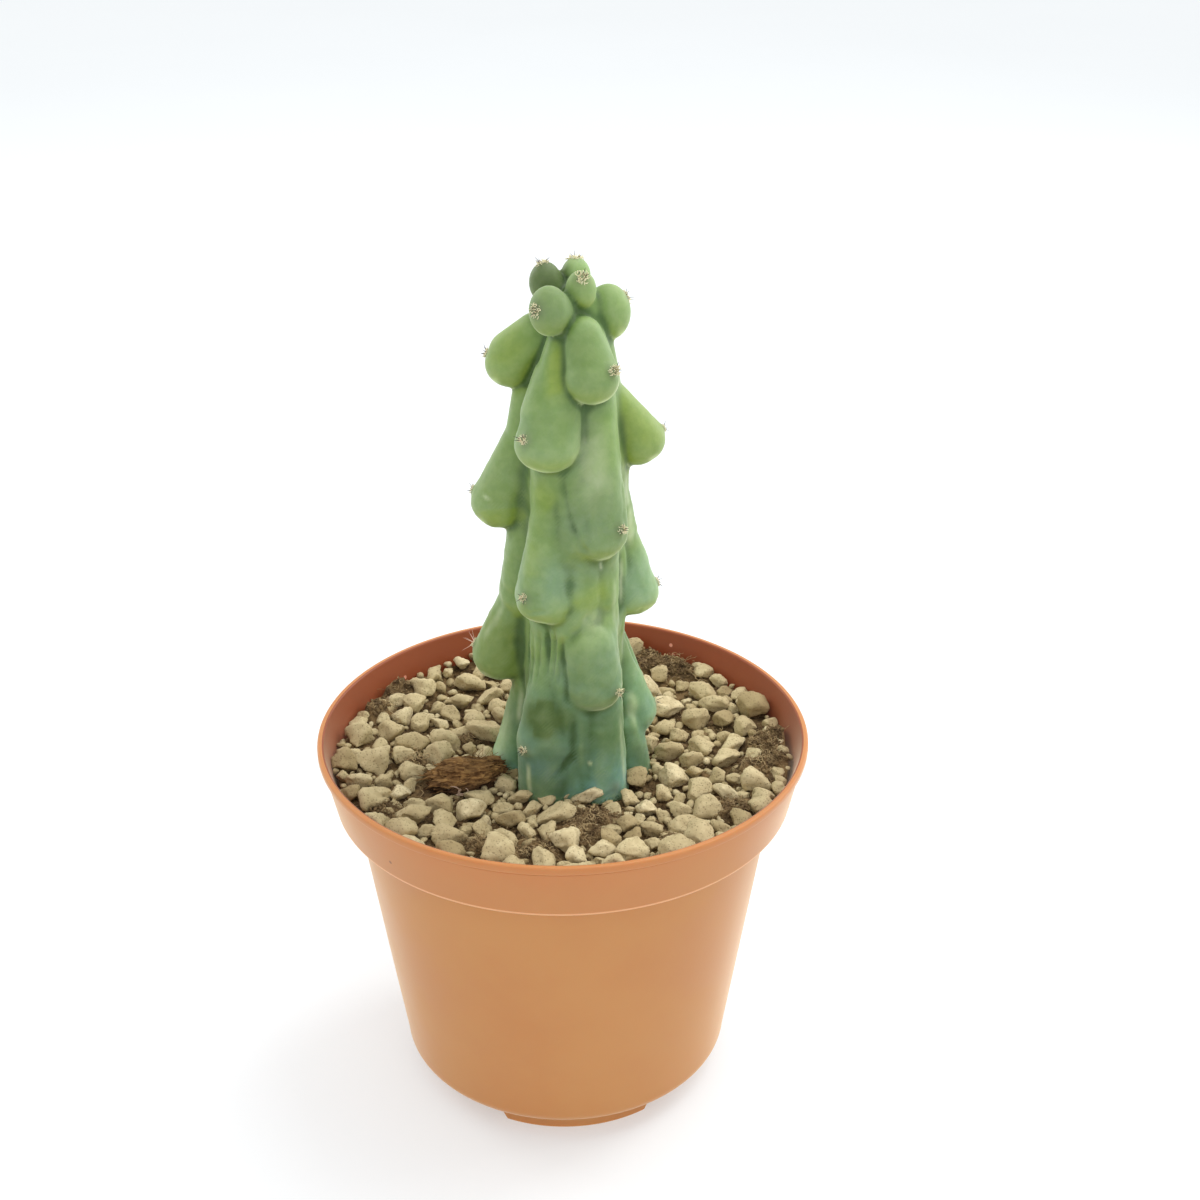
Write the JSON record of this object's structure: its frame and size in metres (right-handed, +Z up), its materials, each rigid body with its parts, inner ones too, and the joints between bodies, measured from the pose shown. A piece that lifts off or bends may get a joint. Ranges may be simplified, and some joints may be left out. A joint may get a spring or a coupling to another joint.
{
  "type": "potted boobie cactus",
  "caption": "Columnar cactus with drooping round tubercles and short spines, standing in a turned nursery pot filled with soil and dressed with pale pumice stones.",
  "frame": {"origin": "on the surface the pot stands on, under the centre of the rim", "axes": "+Z up along the pot's axis and the stem; -Y is the front that the picture looks at; +X is to the right seen from the front"},
  "size_m": [0.12, 0.12, 0.2153],
  "materials": {
    "pot": "matte, slightly translucent moulded terracotta colour",
    "soil": "damp dark peat and coir",
    "pumice": "dusty rough tan",
    "bark": "rough fibrous brown",
    "cactus_skin": "waxy matte green"
  },
  "bodies": {
    "root": {"pot": "pot", "potting_soil": "soil", "pumice_gravel": "pumice", "bark_chip": "bark", "cactus": "cactus_skin"}
  },
  "joints": []
}
